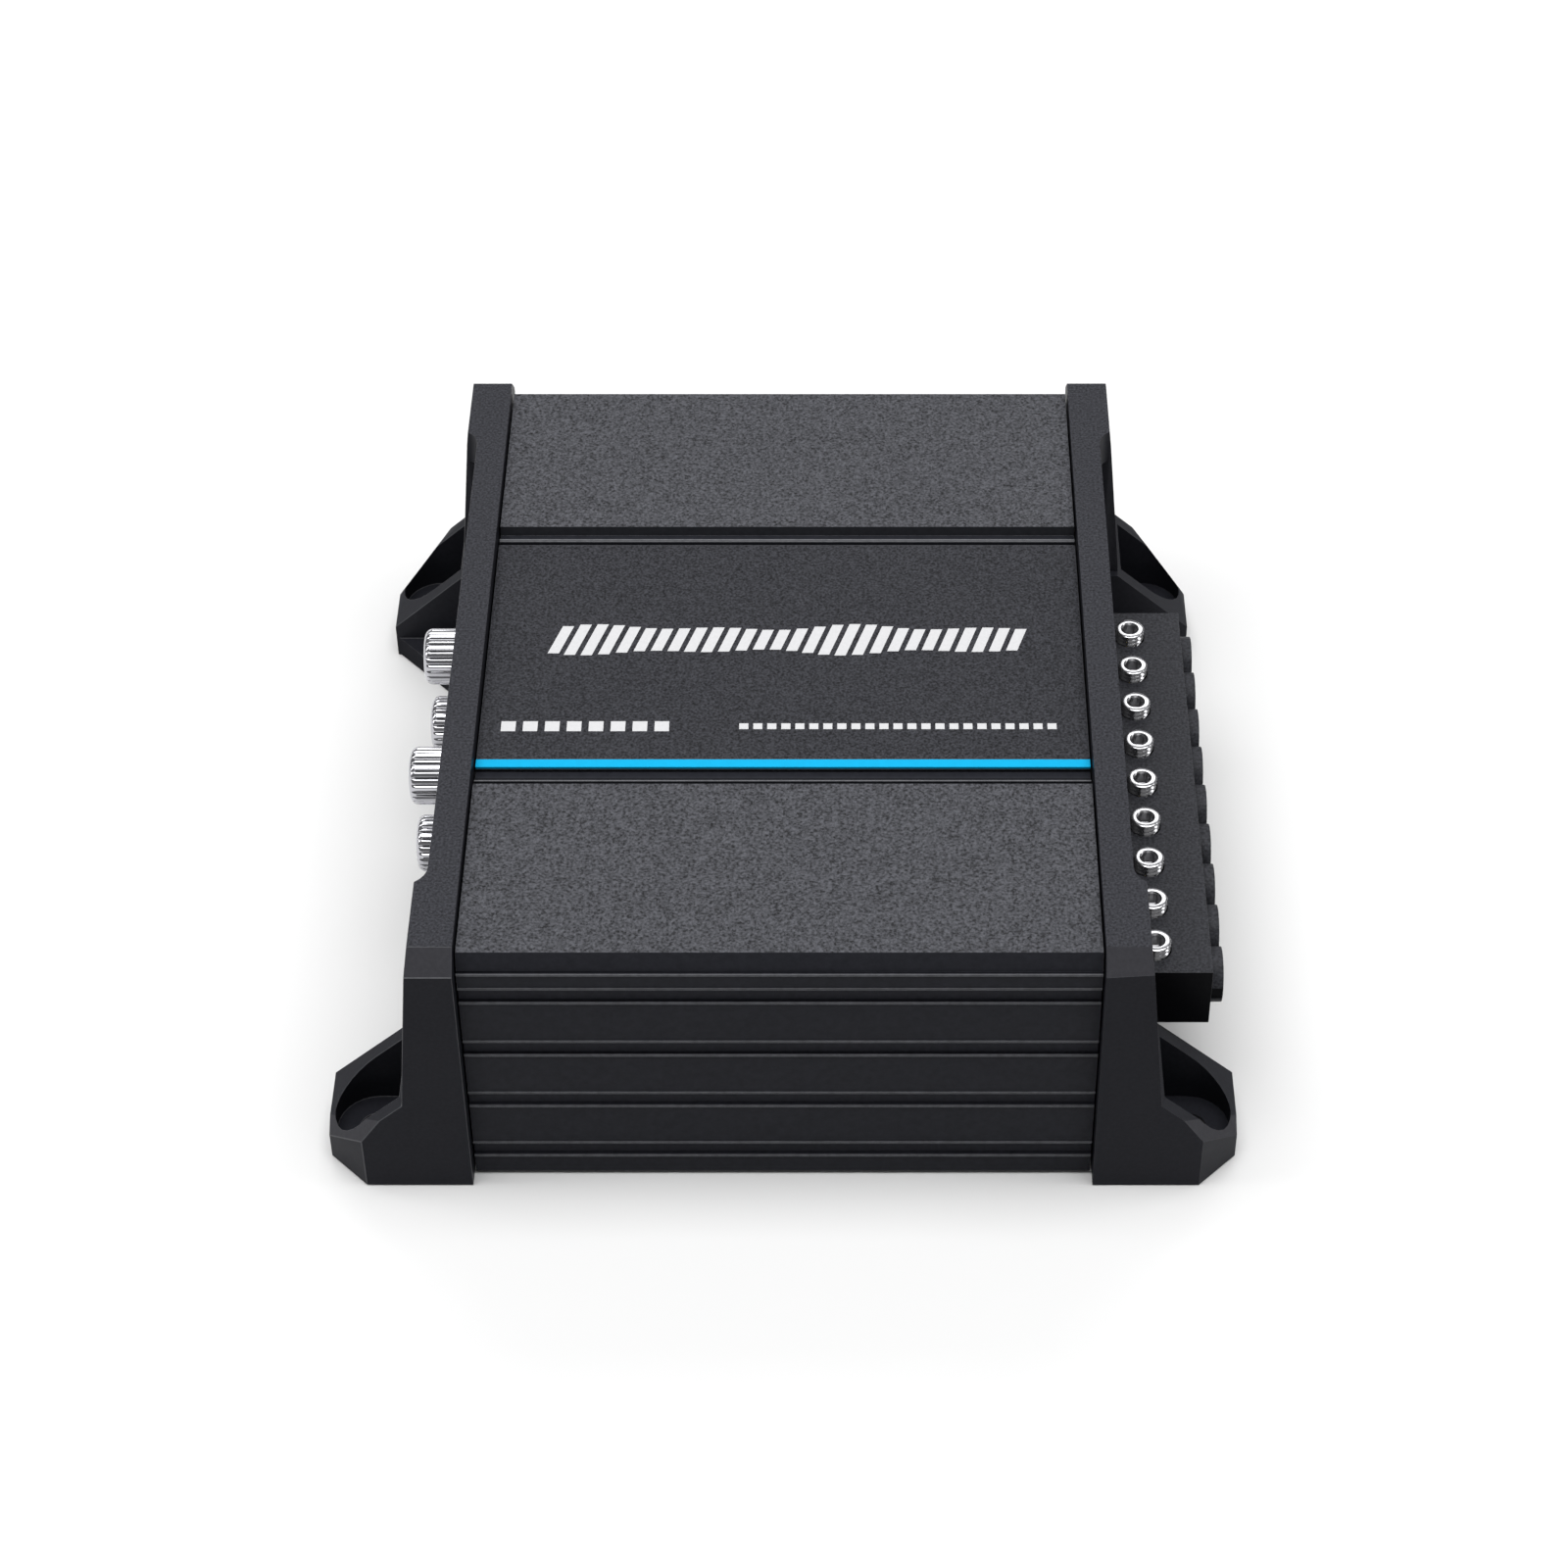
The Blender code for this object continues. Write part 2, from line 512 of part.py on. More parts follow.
def make_knobs(build, finish):
    body_half_y, body_top, body_x = 4.75, 24.0, (-43.0, -HOUSING_FRONT)
    for kind, distance in KNOB_Y.items():
        for end_label, end in ENDS.items():
            y = end * distance
            pot = build.part(
                f"{kind}_pot_{end_label}",
                box_mesh("pot", body_x, (y - body_half_y, y + body_half_y), (ON_BOARD, body_top)),
                finish["pot_case"])
            bore = (-SHAFT_END + 0.5, -HOUSING_FRONT - 2.0)
            build.cut(pot, rod_mesh("bore", "X", (y, CONTROL_Z), SHAFT_RADIUS + 0.1, bore, 20))
            knob = build.part(
                f"{kind}_knob_{end_label}",
                rod_mesh("knob", "X", (y, CONTROL_Z), KNOB_RADIUS, (-KNOB_BASE, -KNOB_END), 24),
                finish["knob_black"], origin=(-KNOB_BASE, y, CONTROL_Z))
            shaft = (-SHAFT_END, -KNOB_BASE - 0.5)
            build.join(knob, rod_mesh("shaft", "X", (y, CONTROL_Z), SHAFT_RADIUS, shaft, 20))
            slot_y = (y - 0.5, y + 0.5)
            slot_z = (CONTROL_Z - 2 * KNOB_RADIUS, CONTROL_Z + 2 * KNOB_RADIUS)
            build.cut(knob, box_mesh("slot", (-KNOB_END + 1.1, -KNOB_END - 1.0), slot_y, slot_z))


def make_switches(build, finish):
    slider_half_y, slider_half_z, slider_x = 1.7, 1.5, (-45.4, -49.0)
    case_half_y, case_x, case_top = 6.0, (-42.0, -HOUSING_FRONT), 23.0
    slot_half_y = slider_half_y + SWITCH_TRAVEL + 0.2
    for end_label, end in ENDS.items():
        y = end * SWITCH_Y
        case = build.part(
            f"filter_switch_case_{end_label}",
            box_mesh("case", case_x, (y - case_half_y, y + case_half_y), (ON_BOARD, case_top)),
            finish["switch_case"])
        slot_z = (CONTROL_Z - slider_half_z - GAP, CONTROL_Z + slider_half_z + GAP)
        build.cut(case, box_mesh("slot", (slider_x[0] + GAP, case_x[1] - 2.0),
                                 (y - slot_half_y, y + slot_half_y), slot_z))
        slider_z = (CONTROL_Z - slider_half_z, CONTROL_Z + slider_half_z)
        lever = build.part(
            f"filter_switch_lever_{end_label}",
            box_mesh("slider", slider_x, (y - slider_half_y, y + slider_half_y), slider_z),
            finish["switch_lever"], origin=(slider_x[1], y, CONTROL_Z))
        build.join(lever, box_mesh("stem", (slider_x[1] + 1.0, -STEM_END),
                                   (y - STEM_HALF_Y, y + STEM_HALF_Y),
                                   (CONTROL_Z - STEM_HALF_Z, CONTROL_Z + STEM_HALF_Z)))


# ---- power side -------------------------------------------------------------
def pole_positions():
    return [FIRST_POLE_Y + POLE_PITCH * i for i in range(POLES)]


def make_output_panel(build, finish):
    outline, span = panel_stock(1)
    opening = rectangle((NECK_Y[0] - GAP, NECK_Y[1] + GAP), (NECK_Z[0] - GAP, NECK_Z[1] + GAP))
    lens_hole = circle((LED_Y, LED_Z), LED_RADIUS + 0.2, 20)
    panel = outline_mesh("output_panel", [outline, opening, lens_hole], "X", span)
    build.part("output_panel", panel, finish["sheet_black"])
    lens = build.part("power_led", rod_mesh("lens", "X", (LED_Y, LED_Z), LED_RADIUS, (48.6, 52.4), 20),
                      finish["led_lens"], smooth=True)
    dome = rod_mesh("dome", "X", (LED_Y, LED_Z), LED_RADIUS - 0.1, (52.0, LENS_TIP), 20, 0.7)
    build.join(lens, dome)
    flange = rod_mesh("flange", "X", (LED_Y, LED_Z), LED_RADIUS + 0.4, (48.0, 49.2), 20)
    build.join(lens, flange)


def make_terminal_block(build, finish):
    block = build.part("terminal_block", box_mesh("block", BLOCK_X, BLOCK_Y, BLOCK_Z),
                       finish["terminal_black"])
    build.join(block, box_mesh("neck", NECK_X, NECK_Y, NECK_Z))
    for y in pole_positions():
        collar = (BLOCK_X[1] - 1.0, COLLAR_END)
        build.join(block, rod_mesh("collar", "X", (y, WIRE_Z), COLLAR_RADIUS, collar, 24))
        cell = (NECK_X[0] - 2.0, CELL_END)
        build.cut(block, box_mesh("cell", cell, (y - CELL_HALF_Y, y + CELL_HALF_Y), CELL_Z))
        entry = (CELL_END - 1.0, COLLAR_END + 2.0)
        build.cut(block, rod_mesh("wire_entry", "X", (y, WIRE_Z), WIRE_RADIUS, entry, 20))
        top = (CELL_Z[1] - 1.0, BLOCK_Z[1] + 2.0)
        build.cut(block, rod_mesh("screw_hole", "Z", (SCREW_X, y), SCREW_HOLE_RADIUS, top, 16))


def make_terminal_clamp(build, finish, number, y):
    name = f"terminal_clamp_{number}"
    clamp = build.part(name, box_mesh(name, CLAMP_X, (y - CLAMP_HALF_Y, y + CLAMP_HALF_Y), CLAMP_Z),
                       finish["brass"])
    window_x = (CLAMP_X[0] - 2.0, CLAMP_X[1] + 2.0)
    window_y = (y - CLAMP_WINDOW_HALF_Y, y + CLAMP_WINDOW_HALF_Y)
    build.cut(clamp, box_mesh("window", window_x, window_y, CLAMP_WINDOW_Z))
    thread = (CLAMP_WINDOW_Z[0] + 1.0, CLAMP_Z[1] + 2.0)
    build.cut(clamp, rod_mesh("thread", "Z", (SCREW_X, y), THREAD_RADIUS, thread, 20))
    tail_y = (y - TAIL_HALF_Y, y + TAIL_HALF_Y)
    tail_z = (CLAMP_Z[0], CLAMP_Z[0] + TAIL_THICKNESS)
    build.join(clamp, box_mesh("tail", (TAIL_X, CLAMP_X[0] + 1.0), tail_y, tail_z))
    leg_x = (TAIL_X, TAIL_X + TAIL_THICKNESS)
    build.join(clamp, box_mesh("leg", leg_x, tail_y, (ON_BOARD, tail_z[1])))


def make_terminal_screw(build, finish, number, y):
    name = f"terminal_screw_{number}"
    mesh = rod_mesh(name, "Z", (SCREW_X, y), SCREW_RADIUS, SCREW_Z, 24)
    screw = build.part(name, mesh, finish["plated_screw"], smooth=True,
                       origin=(SCREW_X, y, SCREW_Z[0]))
    socket_radius = HEX_ACROSS_FLATS / math.sqrt(3)
    socket_z = (SCREW_Z[1] - HEX_DEPTH, SCREW_Z[1] + 1.0)
    build.cut(screw, rod_mesh("hex_socket", "Z", (SCREW_X, y), socket_radius, socket_z, 6))


# ---- inside -----------------------------------------------------------------
def make_internals(build, finish):
    board = box_mesh("board", (-BOARD_HALF_X, BOARD_HALF_X), (-BOARD_HALF_Y, BOARD_HALF_Y), BOARD_Z)
    build.part("circuit_board", board, finish["board_green"])

    core_x, core_y, core_z = (-6.0, 20.0), (18.0, 30.0), (ON_BOARD + 3.0, ON_BOARD + 25.0)
    leg, window = 6.0, 6.5
    core = build.part("transformer_core", box_mesh("core", core_x, core_y, core_z), finish["ferrite"])
    middle = sum(core_x) / 2
    for side in SIDES.values():
        near = middle + side * leg / 2
        x = sorted((near, near + side * window))
        hole = (x, (core_y[0] - 2.0, core_y[1] + 2.0), (core_z[0] + 4.0, core_z[1] - 4.0))
        build.cut(core, box_mesh("core_window", *hole))
    spread = leg / 2 + window - GAP
    wind_y, wind_z = (core_y[0] - 5.5, core_y[1] + 5.5), (core_z[0] + 4.0 + GAP, core_z[1] - 4.0 - GAP)
    winding_outline = rectangle((middle - spread, middle + spread), wind_y)
    hole_outline = rectangle((middle - leg / 2 - GAP, middle + leg / 2 + GAP),
                             (core_y[0] - GAP, core_y[1] + GAP))
    winding = outline_mesh("winding", [winding_outline, hole_outline], "Z", wind_z)
    build.part("transformer_winding", winding, finish["copper"])

    can = rod_mesh("can", "Z", (24.0, -38.0), 9.0, (ON_BOARD, ON_BOARD + 30.0), 32)
    build.part("bulk_capacitor", can, finish["capacitor_sleeve"], smooth=True)

    choke = bpy.data.meshes.new("choke")
    bpy.ops.mesh.primitive_torus_add(
        major_radius=8.0 * MM, minor_radius=4.0 * MM, major_segments=20, minor_segments=10,
        location=(-14.0 * MM, -38.0 * MM, (ON_BOARD + 4.0) * MM))
    made = bpy.context.object
    bm = bmesh.new()
    bm.from_mesh(made.data)
    bm.transform(made.matrix_world)
    bm.to_mesh(choke)
    bm.free()
    bpy.data.objects.remove(made, do_unlink=True)
    build.part("output_choke", choke, finish["copper"], smooth=True)

    bar_back = WALL_INNER - GAP
    bar_top = BOSS_Z[1] - BOSS_HALF_Z - GAP
    bar = [(bar_back, ON_BOARD), (bar_back, bar_top), (bar_back - 3.0, bar_top),
           (bar_back - 3.0, ON_BOARD + 3.0), (bar_back - 11.0, ON_BOARD + 3.0), (bar_back - 11.0, ON_BOARD)]
    spreader = outline_mesh("spreader", [bar], "X", (-38.0, 38.0))
    build.part("heat_spreader_bar", spreader, finish["bare_aluminium"])


def make_finishes():
    return {
        "cast_black": new_material("powder_coat_black", (0.055, 0.057, 0.063), 0.62, 0.2),
        "moulded_black": new_material("moulded_black", (0.022, 0.023, 0.026), 0.55),
        "panel_black": new_material("panel_black", (0.045, 0.046, 0.05), 0.6),
        "accent_blue": new_material("accent_blue", (0.01, 0.42, 0.87), 0.4),
        "sheet_steel": new_material("sheet_steel", (0.3, 0.31, 0.32), 0.45, 1.0),
        "sheet_black": new_material("sheet_black", (0.02, 0.02, 0.022), 0.6),
        "chrome": new_material("chrome", (0.85, 0.86, 0.88), 0.12, 1.0),
        "insulator": new_material("insulator", (0.75, 0.75, 0.73), 0.5),
        "pot_case": new_material("pot_case", (0.5, 0.5, 0.52), 0.4, 1.0),
        "knob_black": new_material("knob_black", (0.03, 0.03, 0.032), 0.5),
        "switch_case": new_material("switch_case", (0.55, 0.56, 0.58), 0.4, 1.0),
        "switch_lever": new_material("switch_lever", (0.03, 0.03, 0.032), 0.5),
        "led_lens": new_material("led_lens", (0.6, 0.05, 0.04), 0.2),
        "terminal_black": new_material("terminal_black", (0.04, 0.04, 0.045), 0.5),
        "brass": new_material("brass", (0.7, 0.5, 0.2), 0.35, 1.0),
        "plated_screw": new_material("plated_screw", (0.75, 0.75, 0.77), 0.2, 1.0),
        "zinc_black": new_material("zinc_black", (0.05, 0.05, 0.055), 0.35, 0.8),
        "board_green": new_material("board_green", (0.02, 0.16, 0.06), 0.5),
        "ferrite": new_material("ferrite", (0.06, 0.06, 0.065), 0.7),
        "copper": new_material("copper", (0.65, 0.28, 0.12), 0.35, 1.0),
        "capacitor_sleeve": new_material("capacitor_sleeve", (0.03, 0.04, 0.12), 0.4),
        "bare_aluminium": new_material("bare_aluminium", (0.7, 0.7, 0.72), 0.35, 1.0),
    }


def main():
    clear_scene()
    build = Builder()
    finish = make_finishes()
    make_casing(build, finish)
    for label in SIDES:
        make_end_cap(build, finish, label)
    make_cap_screws(build, finish)
    make_input_panel(build, finish)
    make_jacks(build, finish)
    make_knobs(build, finish)
    make_switches(build, finish)
    make_output_panel(build, finish)
    make_terminal_block(build, finish)
    for number, y in enumerate(pole_positions(), 1):
        make_terminal_clamp(build, finish, number, y)
        make_terminal_screw(build, finish, number, y)
    make_internals(build, finish)


main()
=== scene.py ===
"""Looks of the compact car amplifier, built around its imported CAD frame.

Lengths are in metres; MM is one millimetre. X runs along the casing, from the phono jacks to the
terminal block, and Y runs to the rear. The camera and lights come first, then the materials, the
tools that make pieces, the pieces themselves, and the assembly.
"""
import json
import math

import bmesh
import bpy
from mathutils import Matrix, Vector


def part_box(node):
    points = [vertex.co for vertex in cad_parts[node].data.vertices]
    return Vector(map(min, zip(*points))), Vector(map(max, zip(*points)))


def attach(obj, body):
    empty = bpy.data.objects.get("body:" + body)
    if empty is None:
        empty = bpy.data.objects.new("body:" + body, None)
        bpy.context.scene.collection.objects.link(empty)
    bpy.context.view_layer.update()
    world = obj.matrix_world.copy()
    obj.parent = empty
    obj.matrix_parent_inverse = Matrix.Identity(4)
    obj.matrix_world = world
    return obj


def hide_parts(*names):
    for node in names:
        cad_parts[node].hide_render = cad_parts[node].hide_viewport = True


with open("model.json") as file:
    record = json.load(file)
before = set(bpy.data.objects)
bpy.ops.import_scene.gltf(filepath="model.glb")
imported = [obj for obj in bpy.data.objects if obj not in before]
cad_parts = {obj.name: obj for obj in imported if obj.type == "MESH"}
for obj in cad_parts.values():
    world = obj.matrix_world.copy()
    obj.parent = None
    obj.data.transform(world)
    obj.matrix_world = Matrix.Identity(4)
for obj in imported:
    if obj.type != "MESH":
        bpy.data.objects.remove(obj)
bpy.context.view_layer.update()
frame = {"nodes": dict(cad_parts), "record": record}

MM = 0.001
NODES = frame["nodes"]
BODY_OF = {node: body for body, members in frame["record"]["behaviour"]["bodies"].items()
           for node in members}
SLOT_OF = {part["node"]: part["material_slot"] for part in frame["record"]["subparts"]}

# Lens and sensor width in millimetres, and the camera's angle below level in degrees.
LENS, SENSOR_WIDTH, SIDE_SHIFT = 84.825, 36.0, -0.0406
CAMERA_PLACE, CAMERA_TILT = (0.0105, -0.4639, 0.4603), 43.55

# Name, place, size and watts of each area light; they all face LIGHT_TARGET.
LIGHT_TARGET = (0.0, 0.0, 0.03)
LIGHTS = (
    ("top_light", (0.0, -0.15, 1.3), (1.6, 0.9), 24.0),
    ("rear_light", (0.0, 1.45, 1.35), (1.8, 0.9), 13.0),
    ("left_light", (-1.0, -0.1, 0.6), (0.25, 0.8), 3.0),
    ("right_light", (1.0, -0.1, 0.6), (0.25, 0.8), 2.0),
)
SURROUND_LIGHT = 0.2
FLOOR_REACH, FLOOR_DROP = 6.0, 0.0002

# Every noise is used over the middle of its range, where most of its values lie.
NOISE_MIDDLE = (0.32, 0.68)
COLOUR_MIDDLE = (0.3, 0.7)
BROAD_SCALE = 60.0
COAT_ROUGHNESS = 0.15

# Vertices this near each other are one vertex, and faces this near to level are one face.
SAME_PLACE = 0.000001
SAME_FACE = math.radians(0.6)
# An edge is rounded from this angle up, where no edge beside it is shorter than CROWDED widths.
ROUNDED_FROM = math.radians(30.0)
CROWDED = 2.2
# A face looks along an axis when its normal's part on that axis is above this.
FACING = 0.9
# Print stands this far off its face, and is this thick.
PRINT_GAP, PRINT_THICKNESS = 0.004 * MM, 0.012 * MM


# ---- camera and light -------------------------------------------------------
def make_camera():
    data = bpy.data.cameras.new("camera")
    data.lens, data.sensor_width = LENS, SENSOR_WIDTH
    data.shift_x = SIDE_SHIFT
    data.clip_start, data.clip_end = 0.01, 20.0
    camera = bpy.data.objects.new("camera", data)
    camera.location = CAMERA_PLACE
    camera.rotation_euler = (math.radians(90.0 - CAMERA_TILT), 0.0, 0.0)
    bpy.context.scene.collection.objects.link(camera)
    bpy.context.scene.camera = camera


def area_light(name, place, size, power):
    data = bpy.data.lights.new(name, "AREA")
    data.shape, data.size, data.size_y = "RECTANGLE", size[0], size[1]
    data.energy = power
    light = bpy.data.objects.new(name, data)
    light.location = place
    aim = Vector(LIGHT_TARGET) - Vector(place)
    light.rotation_euler = aim.to_track_quat("-Z", "Y").to_euler()
    bpy.context.scene.collection.objects.link(light)


def make_studio():
    world = bpy.data.worlds.new("studio")
    world.use_nodes = True
    background = world.node_tree.nodes["Background"]
    background.inputs["Color"].default_value = (1.0, 1.0, 1.0, 1.0)
    background.inputs["Strength"].default_value = SURROUND_LIGHT
    bpy.context.scene.world = world
    bpy.context.scene.view_settings.view_transform = "Standard"
    for name, place, size, power in LIGHTS:
        area_light(name, place, size, power)
    mesh = bpy.data.meshes.new("floor")
    corners = [(-FLOOR_REACH, -FLOOR_REACH, 0), (FLOOR_REACH, -FLOOR_REACH, 0),
               (FLOOR_REACH, FLOOR_REACH, 0), (-FLOOR_REACH, FLOOR_REACH, 0)]
    mesh.from_pydata(corners, [], [(0, 1, 2, 3)])
    floor = bpy.data.objects.new("floor", mesh)
    floor.location.z = -FLOOR_DROP
    mesh.materials.append(surface("floor_pale", (0.68, 0.68, 0.68), 0.8, grain=(3.0, 0.01),
                                  specular=0.1))
    bpy.context.scene.collection.objects.link(floor)


# ---- materials --------------------------------------------------------------
def noise(tree, scale, detail=3.0, stretch=None):
    """Noise in the piece's own metres; stretch scales it along X, Y and Z first."""
    place = tree.nodes.new("ShaderNodeTexCoord")
    texture = tree.nodes.new("ShaderNodeTexNoise")
    texture.inputs["Scale"].default_value = scale
    texture.inputs["Detail"].default_value = detail
    texture.inputs["Roughness"].default_value = 0.55
    source = place.outputs["Object"]
    if stretch:
        mapping = tree.nodes.new("ShaderNodeMapping")
        mapping.inputs["Scale"].default_value = stretch
        tree.links.new(source, mapping.inputs["Vector"])
        source = mapping.outputs["Vector"]
    tree.links.new(source, texture.inputs["Vector"])
    return texture.outputs["Fac"]


def spread(tree, value, low, high):
    """Map the middle of a noise onto low..high."""
    step = tree.nodes.new("ShaderNodeMapRange")
    step.inputs["From Min"].default_value = NOISE_MIDDLE[0]
    step.inputs["From Max"].default_value = NOISE_MIDDLE[1]
    step.inputs["To Min"].default_value = low
    step.inputs["To Max"].default_value = high
    tree.links.new(value, step.inputs["Value"])
    return step.outputs["Result"]


def surface(name, colour, roughness, metallic=0.0, grain=(1200.0, 0.12), bump=None,
            wear=0.05, stretch=None, coat=0.0, specular=None):
    """Principled material with graded colour, roughness and, if asked, fine relief.

    grain is (scale, share of the colour that varies); bump is (scale, depth in metres); wear is
    how far the roughness varies.
    """
    material = bpy.data.materials.new(name)
    material.use_nodes = True
    tree = material.node_tree
    shader = tree.nodes["Principled BSDF"]
    shader.inputs["Metallic"].default_value = metallic
    if coat:
        shader.inputs["Coat Weight"].default_value = coat
        shader.inputs["Coat Roughness"].default_value = COAT_ROUGHNESS
    if specular is not None:
        shader.inputs["Specular IOR Level"].default_value = specular
    fine = noise(tree, grain[0], stretch=stretch)
    ramp = tree.nodes.new("ShaderNodeValToRGB")
    ends = zip(ramp.color_ramp.elements, COLOUR_MIDDLE, (1.0 - grain[1], 1.0 + grain[1]))
    for element, position, share in ends:
        element.position = position
        element.color = (*[min(channel * share, 1.0) for channel in colour], 1.0)
    tree.links.new(fine, ramp.inputs["Fac"])
    tree.links.new(ramp.outputs["Color"], shader.inputs["Base Color"])
    broad = noise(tree, BROAD_SCALE, detail=4.0)
    low, high = max(roughness - wear, 0.02), min(roughness + wear, 1.0)
    tree.links.new(spread(tree, broad, low, high), shader.inputs["Roughness"])
    if bump:
        relief = tree.nodes.new("ShaderNodeBump")
        relief.inputs["Strength"].default_value = 1.0
        relief.inputs["Distance"].default_value = bump[1]
        height = noise(tree, bump[0], detail=2.0, stretch=stretch)
        tree.links.new(height, relief.inputs["Height"])
        tree.links.new(relief.outputs["Normal"], shader.inputs["Normal"])
    return material


def make_finishes():
    """Every finish by name; each CAD material slot has the finish of the same name."""
    looks = {
        # casing: coarse powder on the pads, smooth anodised elsewhere
        "pad_powder": dict(colour=(0.047, 0.048, 0.0545), roughness=0.6, grain=(2300.0, 0.85),
                           bump=(2300.0, 0.0002), specular=0.14),
        "extrusion_black": dict(colour=(0.0155, 0.0162, 0.0205), roughness=0.4,
                                grain=(900.0, 0.12), bump=(2600.0, 0.00001), specular=0.06),
        # painted highlight on the rounded edges of the casing and badge, and on the lip beads
        "edge_painted_highlight": dict(colour=(0.052, 0.0535, 0.06), roughness=0.35, grain=(900.0, 0.2),
                               specular=0.2),
        # painted light: groove floors lighter than the casing, against the shade in them
        "groove_painted_light": dict(colour=(0.0195, 0.0202, 0.0252), roughness=0.5,
                                 grain=(900.0, 0.12), specular=0.05),
        # painted light: the channel's walls lighter than the casing, against the shade there
        "channel_wall_painted_light": dict(colour=(0.034, 0.035, 0.041), roughness=0.5, grain=(900.0, 0.12),
                             specular=0.05),
        # painted highlight: bright lines on the channel's ribs and under the caps' top chamfers
        "line_painted_highlight": dict(colour=(0.1, 0.102, 0.11), roughness=0.35, grain=(900.0, 0.15),
                           specular=0.2),
        # painted shade on the front channel floor
        "channel_painted_shade": dict(colour=(0.0075, 0.0078, 0.0098), roughness=0.5, grain=(900.0, 0.15),
                             specular=0.015),
        # badge panel
        "badge_black": dict(colour=(0.025, 0.0255, 0.0298), roughness=0.55, grain=(2400.0, 0.75),
                            bump=(2400.0, 0.0001), specular=0.08),
        "accent_blue": dict(colour=(0.0015, 0.315, 0.56), roughness=0.4, grain=(700.0, 0.03),
                            specular=0.05),
        "print_white": dict(colour=(0.5, 0.5, 0.51), roughness=0.5, grain=(1500.0, 0.03),
                            specular=0.1),
        # end caps
        "moulded_black": dict(colour=(0.0137, 0.0142, 0.018), roughness=0.42, grain=(1500.0, 0.1),
                              bump=(3000.0, 0.00001), specular=0.055),
        "moulded_top": dict(colour=(0.0285, 0.0291, 0.0342), roughness=0.55,
                            grain=(2400.0, 0.55), bump=(2400.0, 0.00008), specular=0.06),
        # painted light: the caps' chamfers lighter than their fronts
        "chamfer_painted_light": dict(colour=(0.034, 0.0338, 0.0385), roughness=0.45,
                                grain=(1500.0, 0.08), specular=0.05),
        # painted highlight on the caps' rounded edges
        "cap_edge_painted_highlight": dict(colour=(0.05, 0.0505, 0.056), roughness=0.35, grain=(1500.0, 0.15),
                             specular=0.15),
        # plates, jacks and controls
        "sheet_steel": dict(colour=(0.46, 0.47, 0.48), roughness=0.38, metallic=1.0,
                            grain=(900.0, 0.08), bump=(900.0, 0.00001), stretch=(0.06, 1.0, 1.0)),
        "sheet_black": dict(colour=(0.018, 0.018, 0.02), roughness=0.5, grain=(1800.0, 0.15),
                            bump=(2200.0, 0.00002)),
        "chrome": dict(colour=(0.5, 0.5, 0.53), roughness=0.1, metallic=1.0, grain=(400.0, 0.03),
                       wear=0.04),
        # painted shade in the barrels' flute bottoms and bore
        "chrome_painted_shade": dict(colour=(0.12, 0.12, 0.125), roughness=0.3, metallic=1.0,
                             grain=(400.0, 0.1)),
        "insulator": dict(colour=(0.72, 0.72, 0.69), roughness=0.45, grain=(500.0, 0.04)),
        "pot_case": dict(colour=(0.52, 0.52, 0.54), roughness=0.35, metallic=1.0,
                         grain=(900.0, 0.08)),
        "knob_black": dict(colour=(0.02, 0.02, 0.022), roughness=0.42, grain=(1500.0, 0.12),
                           bump=(2500.0, 0.00002)),
        "switch_lever": dict(colour=(0.022, 0.022, 0.024), roughness=0.4, grain=(1500.0, 0.12)),
        "led_lens": dict(colour=(0.5, 0.03, 0.02), roughness=0.15, grain=(500.0, 0.1), coat=0.6),
        # terminal block and its metal
        "terminal_black": dict(colour=(0.0272, 0.0278, 0.0322), roughness=0.5,
                               grain=(2200.0, 0.5), bump=(2400.0, 0.00007), specular=0.08),
        # painted shade: the block's end faces darker than its top
        "terminal_end_painted_shade": dict(colour=(0.0032, 0.0033, 0.0041), roughness=0.3, grain=(1500.0, 0.1),
                             specular=0.03),
        # painted highlight on the block's rounded edges
        "terminal_edge_painted_highlight": dict(colour=(0.04, 0.0405, 0.044), roughness=0.35,
                              grain=(1500.0, 0.15), specular=0.2),
        "brass": dict(colour=(0.66, 0.47, 0.18), roughness=0.3, metallic=1.0,
                      grain=(900.0, 0.08)),
        "plated_screw": dict(colour=(0.55, 0.55, 0.57), roughness=0.18, metallic=1.0,
                             grain=(900.0, 0.05)),
        # painted shade inside the screws' hexagon sockets
        "screw_socket_painted_shade": dict(colour=(0.36, 0.36, 0.37), roughness=0.35, metallic=1.0,
                            grain=(900.0, 0.1)),
        "zinc_black": dict(colour=(0.045, 0.045, 0.05), roughness=0.32, metallic=0.8,
                           grain=(900.0, 0.2)),
        # inside the casing
        "board_green": dict(colour=(0.012, 0.13, 0.045), roughness=0.35, grain=(300.0, 0.3)),
        "ferrite": dict(colour=(0.045, 0.045, 0.05), roughness=0.65, grain=(1500.0, 0.25),
                        bump=(1500.0, 0.00004)),
        "copper": dict(colour=(0.6, 0.25, 0.1), roughness=0.3, metallic=1.0, grain=(1800.0, 0.3),
                       bump=(900.0, 0.0002), stretch=(0.1, 0.1, 1.0)),
        "capacitor_sleeve": dict(colour=(0.02, 0.03, 0.1), roughness=0.3, grain=(400.0, 0.1)),
        "bare_aluminium": dict(colour=(0.7, 0.7, 0.72), roughness=0.35, metallic=1.0,
                               grain=(900.0, 0.06), stretch=(0.05, 1.0, 1.0)),
    }
    return {name: surface(name, **look) for name, look in looks.items()}


# ---- tools that make pieces -------------------------------------------------
def to_mesh(bm, name):
    mesh = bpy.data.meshes.new(name)
    bm.to_mesh(mesh)
    bm.free()
    return mesh


